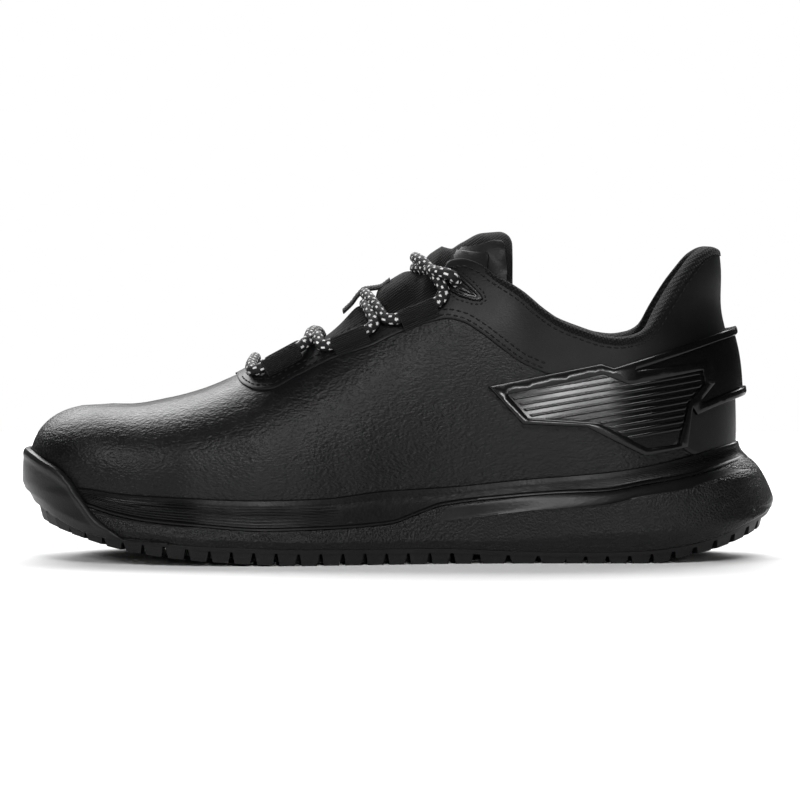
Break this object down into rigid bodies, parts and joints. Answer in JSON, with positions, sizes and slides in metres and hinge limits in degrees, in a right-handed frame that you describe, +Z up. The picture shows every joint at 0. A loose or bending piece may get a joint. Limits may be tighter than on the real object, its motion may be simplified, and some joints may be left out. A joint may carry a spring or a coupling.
{
  "type": "golf shoe",
  "caption": "Low-cut laced leather golf shoe with a lugged spikeless sole, a moulded heel clip and a padded tongue whose end folds forward.",
  "frame": {"origin": "middle of the shoe's box, on the ground under the lugs", "axes": "+X to the heel, +Y to the medial (inner) side, +Z up; the lateral side faces -Y"},
  "size_m": [0.3047, 0.1123, 0.1322],
  "materials": {
    "grained_leather": "tumbled full grain, low sheen",
    "smooth_leather": "smooth, low sheen",
    "stiffener": "matt",
    "foam": "open foam",
    "backing": "woven backing",
    "lining": "knit lining",
    "collar_knit": "padded knit lining",
    "binding_knit": "ribbed knit",
    "board": "matt board",
    "footbed_cover": "cloth over foam",
    "outsole_rubber": "matt",
    "shank": "matt",
    "midsole_foam": "pebbled, satin",
    "carrier_foam": "ridged, satin",
    "bumper_rubber": "satin",
    "clip_gloss": "high gloss",
    "tongue_fabric": "woven",
    "patch": "moulded satin",
    "webbing": "ribbed webbing",
    "eyelet_plastic": "satin moulded",
    "lace_braid": "round braid, black with white flecks",
    "aglet": "clear black"
  },
  "bodies": {
    "shoe": {"vamp": "grained_leather", "quarter_lateral": "smooth_leather", "quarter_medial": "smooth_leather", "toe_puff": "stiffener", "heel_counter": "stiffener", "collar_foam": "foam", "eyestay_tape_lateral": "backing", "eyestay_tape_medial": "backing", "vamp_backing": "backing", "vamp_lining": "lining", "collar_lining": "collar_knit", "topline_binding": "binding_knit", "insole_board": "board", "footbed": "footbed_cover", "outsole": "outsole_rubber", "shank_plate": "shank", "midsole": "midsole_foam", "midsole_carrier": "carrier_foam", "toe_bumper": "bumper_rubber", "heel_clip": "clip_gloss", "tongue_outer": "tongue_fabric", "tongue_foam": "foam", "tongue_lining": "lining", "tongue_keeper": "webbing", "eyelet_plate_lateral": "eyelet_plastic", "eyelet_plate_medial": "eyelet_plastic", "lace": "lace_braid", "lace_aglets": "aglet", "lace_loop_lateral_a": "webbing", "lace_loop_lateral_b": "webbing", "lace_loop_lateral_c": "webbing", "lace_loop_medial_a": "webbing", "lace_loop_medial_b": "webbing", "lace_loop_medial_c": "webbing"},
    "tongue_tip": {"tongue_tip_outer": "tongue_fabric", "tongue_tip_foam": "foam", "tongue_tip_lining": "lining", "tongue_patch": "patch"}
  },
  "joints": [
    {"name": "tongue_fold", "type": "hinge", "parent": "shoe", "child": "tongue_tip", "pos_m": [0.018, 0.003, 0.12668], "axis": [0, -1, 0], "range_deg": [0, 50], "stiffness_Nm_per_rad": 0.05}
  ]
}
